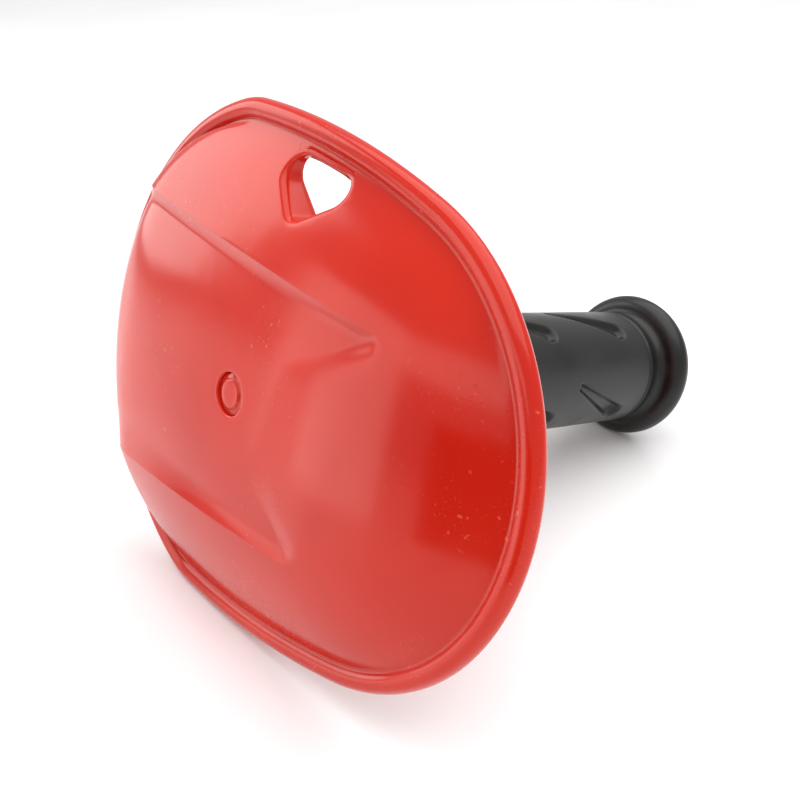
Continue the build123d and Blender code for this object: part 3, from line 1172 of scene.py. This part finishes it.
    def build(self) -> bpy.types.Object:
        """Builds the whole head as one closed surface, with the ribs beside it.

        Returns:
            The head.
        """
        mesher = Mesher(self.tool)
        outer_plan, outer_keep, outer_loop = self.open_hole(
            self.plan(Face.OUTSIDE), (1, 9, 13, 17, self.band_rows - 1), self.hole_lip)
        inner_plan, inner_keep, inner_loop = self.open_hole(
            self.plan(Face.INSIDE), (0.5, 5, 9, 13, self.inner_band_rows - 1), self.collar_wall)
        outer = self.with_height(outer_plan, Face.OUTSIDE)
        inner = self.with_height(inner_plan, Face.INSIDE)
        boss, rim = self.boss(), self.bead()
        # centre of the inside, out under the dome, round the rim, and over the top to the crown
        rows = np.concatenate([boss[::-1], inner[::-1], rim[::-1], outer, self.recess()])
        numbers = mesher.add(rows)
        keep = np.ones((len(rows) - 1, self.columns), bool)
        first_inner = len(boss)
        last_inner = first_inner + len(inner) - 1
        first_outer = last_inner + 1 + len(rim)
        keep[first_inner:last_inner] = inner_keep[::-1]
        keep[first_outer : first_outer + len(outer) - 1] = outer_keep
        mesher.weave(numbers, keep=keep)
        mesher.close(numbers[-1], (0.0, 0.0, self.recess_floor))
        mesher.close(numbers[0], (0.0, 0.0, self.socket_floor), flip=True)
        outer_ring = numbers[first_outer + outer_loop[:, 0], outer_loop[:, 1] % self.columns]
        inner_ring = numbers[last_inner - inner_loop[:, 0], inner_loop[:, 1] % self.columns]
        wall = mesher.add(self.hole_wall(
            outer[outer_loop[:, 0], outer_loop[:, 1]], inner[inner_loop[:, 0], inner_loop[:, 1]]))
        mesher.weave(np.concatenate([outer_ring[None], wall, inner_ring[None]]))
        self.ribs(mesher)
        piece = mesher.build("head_shell_moulded")
        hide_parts("head_shell")
        return piece


# --------------------------------------------------------------------------- cap in the crown
@dataclass
class CrownCap:
    """Small push-in cap: a rim groove round a raised land."""

    tool: LyingTool
    radius: float = 4.65
    land_radius: float = 3.3
    top: float = 12.1
    land_height: float = 0.6
    thickness: float = 1.2
    columns: int = 96

    def build(self) -> bpy.types.Object:
        """Turns the cap's profile of radius and height round the handle axis.

        The small offsets in the profile round its corners.

        Returns:
            The cap.
        """
        seat = self.top - self.land_height
        foot = seat - self.thickness
        radius, land, top = self.radius, self.land_radius, self.top
        profile = (
            (0.6, foot), (radius - 0.3, foot), (radius, foot + 0.3), (radius, seat - 0.15),
            (radius - 0.15, seat), (land + 0.25, seat), (land + 0.05, seat + 0.12),
            (land, seat + 0.35), (land, top - 0.45), (land - 0.1, top - 0.2),
            (land - 0.3, top - 0.06), (land - 0.6, top), (1.2, top - 0.03),
        )
        mesher = Mesher(self.tool)
        numbers = mesher.add(turned(profile, self.columns))
        mesher.weave(numbers)
        mesher.close(numbers[-1], (0.0, 0.0, top - 0.05))
        mesher.close(numbers[0], (0.0, 0.0, foot), flip=True)
        piece = mesher.build("crown_cap_moulded")
        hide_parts("crown_cap")
        return piece


# --------------------------------------------------------------------------- the rubber grip
@dataclass
class GripSleeve:
    """Hand grip: a plain barrel with slanted teardrop grooves, a ring line, a waist and a
    rolled end flange."""

    tool: LyingTool
    radius: float = 17.0
    bore: float = 11.05
    top: float = -18.3
    top_round: float = 1.5
    # end flange and the neck before it
    flange_at: float = -137.4
    flange_radius: float = 22.15
    flange_rim: float = 4.0
    flange_seam: float = 0.14
    neck_radius: float = 15.5
    bore_middle: float = -60.0
    # ring line
    ring_from_flange: float = 11.6
    ring_depth: float = 0.4
    ring_width: float = 0.8
    # teardrop grooves
    groove_length: float = 29.0
    groove_tip: float = 1.5
    groove_end: float = 3.4
    groove_depth: float = 1.8
    groove_slant: float = 25.0
    groove_rows: int = 3
    grooves_round: int = 4
    groove_first: float = -103.5
    groove_pitch: float = 32.5
    groove_turn: float = 77.0
    # fineness of the mesh
    columns: int = 300
    barrel_rows: int = 250

    def groove(self, along: np.ndarray, across: np.ndarray) -> np.ndarray:
        """Depth share of one teardrop: distance inside the shape swept from the small tip circle
        to the large end circle, with a crisp edge and a round floor.

        Args:
            along: Distance from the groove's middle towards its tip.
            across: Distance across it.

        Returns:
            0 outside the groove, 1 at its floor.
        """
        reach = (self.groove_length - self.groove_tip - self.groove_end) / 2
        share = np.clip((reach - along) / (2 * reach), 0.0, 1.0)
        half = self.groove_tip + (self.groove_end - self.groove_tip) * share
        past = along + reach
        away = np.hypot(across, np.where(past < 0, past, np.maximum(along - reach, 0.0)))
        return smooth((half - away) / np.minimum(0.5 + 0.45 * half, half * 0.98))

    def profile(self) -> np.ndarray:
        """Outside profile from the top end to the flange and back up the bore.

        The top's corner is an arc, the barrel is straight, the ring line is a bell, the neck is
        a cubic curve, tangent to the barrel, and the flange's rim is half a circle.

        Returns:
            Pairs of radius and height, n by 2.
        """
        radius, top, corner = self.radius, self.top, self.top_round
        z_ring = self.flange_at + self.ring_from_flange
        t = np.linspace(0.2, 1.4, 6)
        rounded = np.column_stack(
            [radius - corner + corner * np.sin(t), top - corner + corner * np.cos(t)])
        z = np.linspace(top - corner, z_ring + 1.0, self.barrel_rows)
        side = np.column_stack([np.full(z.shape, radius), z])
        z = np.linspace(z_ring + 0.9, z_ring - 0.9, 13)
        ring = np.column_stack([radius - self.ring_depth * bell(z - z_ring, self.ring_width), z])
        middle = self.flange_radius - self.flange_rim
        shelf = self.flange_at + self.flange_rim
        p0, p1 = np.array([radius, z_ring - 1.0]), np.array([self.neck_radius, z_ring - 2.0])
        p2, p3 = np.array([self.neck_radius - 0.6, shelf + 0.4]), np.array([middle, shelf])
        t = np.linspace(0.0, 1.0, 26)[1:, None]
        neck = (1 - t) ** 3 * p0 + 3 * t * (1 - t) ** 2 * p1 + 3 * t**2 * (1 - t) * p2 + t**3 * p3
        roll = np.linspace(math.pi / 2, -math.pi / 2, 30)[1:]
        rim = self.flange_rim - self.flange_seam + self.flange_seam * bell(roll, 0.09)
        flange = np.column_stack(
            [middle + rim * np.cos(roll), self.flange_at + self.flange_rim * np.sin(roll)])
        end = self.flange_at - self.flange_rim
        bore = [
            (self.bore + 3.0, end), (self.bore + 0.6, end), (self.bore, end + 0.6),
            (self.bore, self.bore_middle), (self.bore, top - 0.4), (self.bore + 0.3, top),
        ]
        start = [(self.bore + 1.0, top), (radius - corner, top)]
        return np.vstack([start, rounded, side, ring, neck, flange, bore])

    def build(self) -> bpy.types.Object:
        """Turns the profile round the axis, and presses the grooves into the barrel.

        A groove's own axes lie on the barrel's surface, turned by the slant, and its depth is
        taken off the radius.

        Returns:
            The grip.
        """
        profile = self.profile()
        turn = np.arange(self.columns) / self.columns * TURN
        radius = np.repeat(profile[:, :1], self.columns, axis=1)
        height = np.repeat(profile[:, 1:], self.columns, axis=1)
        outside = radius > self.radius - 0.01
        slant = math.radians(self.groove_slant)
        for row in range(self.groove_rows):
            for number in range(self.grooves_round):
                middle = math.radians(self.groove_turn + 360.0 * number / self.grooves_round)
                round_way = (np.mod(turn - middle + math.pi, TURN) - math.pi)[None] * self.radius
                up = height - (self.groove_first + self.groove_pitch * row)
                along = up * math.cos(slant) + round_way * math.sin(slant)
                across = -up * math.sin(slant) + round_way * math.cos(slant)
                depth = self.groove(along, across) * self.groove_depth
                radius = radius - np.where(outside, depth, 0.0)
        rows = np.stack([radius * np.cos(turn), radius * np.sin(turn), height], axis=-1)
        mesher = Mesher(self.tool)
        numbers = mesher.add(rows)
        mesher.weave(np.concatenate([numbers, numbers[:1]])[:, ::-1])
        piece = mesher.build("grip_sleeve_moulded")
        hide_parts("grip_sleeve")
        return piece


# --------------------------------------------------------------------------- studio
@dataclass
class Studio:
    """Pale floor, soft lights, cards that only reflections see, and the camera."""

    tool: LyingTool
    camera_from_tool_mm: tuple[float, float, float] = (160.4, 70.8, 124.2)
    camera_azimuth: float = 49.44
    camera_elevation: float = 29.09
    lens_mm: float = 42.75
    sensor_mm: float = 36.0
    world_strength: float = 0.62
    floor_half_size: float = 6.0
    floor_below: float = 0.0001

    def aim(self, thing: bpy.types.Object, place: Vector, way: Vector) -> None:
        """Puts a camera or a lamp at a place and points it along a direction.

        Args:
            thing: The camera or the lamp.
            place: Where it stands, metres.
            way: Where it looks.
        """
        bpy.context.scene.collection.objects.link(thing)
        thing.location = place
        thing.rotation_mode = "QUATERNION"
        thing.rotation_quaternion = way.to_track_quat("-Z", "Y")

    def camera(self) -> None:
        """Places the camera by its place in the tool's frame and its viewing angles."""
        data = bpy.data.cameras.new("camera")
        data.lens = self.lens_mm
        data.sensor_width = self.sensor_mm
        data.clip_start, data.clip_end = 0.005, 50.0
        eye = bpy.data.objects.new("camera", data)
        a, e = math.radians(self.camera_azimuth), math.radians(self.camera_elevation)
        back = Vector((math.sin(a) * math.cos(e), -math.cos(a) * math.cos(e), math.sin(e)))
        place = Vector(self.tool.place(np.array([self.camera_from_tool_mm]))[0])
        self.aim(eye, place, -back)
        bpy.context.scene.camera = eye

    def light(
        self,
        name: str,
        place: tuple[float, float, float],
        target: tuple[float, float, float],
        size: tuple[float, float],
        watts: float,
    ) -> None:
        """Adds one white rectangular soft light.

        Args:
            name: Name of the light.
            place: Where it stands, metres.
            target: The point that it is aimed at, metres.
            size: Its two sides, metres.
            watts: Its power.
        """
        data = bpy.data.lights.new(name, "AREA")
        data.shape = "RECTANGLE"
        data.size, data.size_y = size
        data.energy = watts
        lamp = bpy.data.objects.new(name, data)
        self.aim(lamp, Vector(place), Vector(target) - Vector(place))

    def board(
        self,
        name: str,
        corners: Sequence[tuple[float, float, float]],
        finish: bpy.types.Material,
    ) -> bpy.types.Object:
        """Makes one flat staged board.

        Args:
            name: Name of the board.
            corners: Its corners in order, metres.
            finish: Its material.

        Returns:
            The board.
        """
        mesh = bpy.data.meshes.new(name)
        mesh.from_pydata(list(corners), [], [tuple(range(len(corners)))])
        mesh.materials.append(finish)
        board = bpy.data.objects.new(name, mesh)
        bpy.context.scene.collection.objects.link(board)
        return board

    def floor(self) -> None:
        """A wide pale board under the tool, a hair below it."""
        size, low = self.floor_half_size, -self.floor_below
        corners = ((-size, -size, low), (size, -size, low), (size, size, low), (-size, size, low))
        self.board("floor", corners, StudioBoard("laminated_white_board").build())

    def card(
        self,
        name: str,
        left: tuple[float, float],
        right: tuple[float, float],
        heights: tuple[float, float],
        glow: float,
    ) -> None:
        """Stands a card between two floor points; it is seen only in the glossy skin.

        Args:
            name: Name of the card.
            left: One end on the floor, metres.
            right: The other end on the floor, metres.
            heights: Heights of its lower and upper edges.
            glow: Its brightness, or 0 for black velvet.
        """
        low, high = heights
        corners = ((*left, low), (*right, low), (*right, high), (*left, high))
        board = self.board(name, corners, StageCard(name, glow=glow).build())
        for kind in ("camera", "diffuse", "shadow", "transmission"):
            setattr(board, f"visible_{kind}", False)

    def build(self) -> None:
        """Sets the world, the floor, the lights, the cards and the camera."""
        world = bpy.data.worlds.new("studio")
        bpy.context.scene.world = world
        world.use_nodes = True
        background = world.node_tree.nodes["Background"]
        background.inputs["Color"].default_value = linear("FFFFFF")
        background.inputs["Strength"].default_value = self.world_strength
        self.floor()
        self.light("overhead", (0.1, 0.5, 1.8), (0.0, 0.3, 0.0), (2.8, 2.8), 46.0)
        self.light("left", (-0.75, -0.35, 0.40), (0.0, -0.06, 0.06), (0.4, 0.7), 2.6)
        self.card("light_card", (-0.15, -0.215), (-0.012, -0.262), (0.0, 0.20), 2.5)
        self.card("high_light_card", (-0.012, -0.262), (0.13, -0.215), (0.15, 0.20), 2.0)
        self.card("velvet_card", (0.042, -0.260), (0.16, -0.200), (0.0, 0.12), 0.0)
        self.camera()
        bpy.context.scene.view_settings.view_transform = "Standard"


# --------------------------------------------------------------------------- the whole tool
@dataclass
class Plunger:
    """The tool as built from its pieces and dressed."""

    tool: LyingTool = field(default_factory=LyingTool)

    def dress(self, piece: bpy.types.Object, finish: bpy.types.Material) -> None:
        """Gives a piece one material.

        Args:
            piece: The piece.
            finish: The material.
        """
        piece.data.materials.clear()
        piece.data.materials.append(finish)
        log.info("%s: %d faces, %s", piece.name, len(piece.data.polygons), finish.name)

    def build(self) -> None:
        """Builds the moulded pieces, and dresses them and the machined ones."""
        red = MouldedGlossAbs("abs_red_polished_moulding").build()
        rubber = MouldedRubber("thermoplastic_rubber_moulded").build()
        zinc = WorkedMetal("steel_zinc_plated").build()
        drawn = WorkedMetal(
            "aluminium_drawn_tube", colour="D2D2D4", dark="B4B4B7", roughness=0.24, line_mm=0.18,
        ).build()
        black = MattePlastic("polypropylene_black_textured").build()
        self.dress(HeadShell(self.tool).build(), red)
        self.dress(CrownCap(self.tool).build(), red)
        self.dress(GripSleeve(self.tool).build(), rubber)
        kept = {
            "fixing_screw": zinc,
            "screw_washer": zinc,
            "tube_insert": drawn,
            "handle_tube": drawn,
            "tube_end_plug": black,
        }
        for name, finish in kept.items():
            self.dress(frame["nodes"][name], finish)


def main() -> None:
    """Builds the tool and its studio."""
    logging.basicConfig(level=logging.INFO, format="%(name)s %(message)s")
    plunger = Plunger()
    plunger.build()
    Studio(plunger.tool).build()


if __name__ == "__main__":
    main()
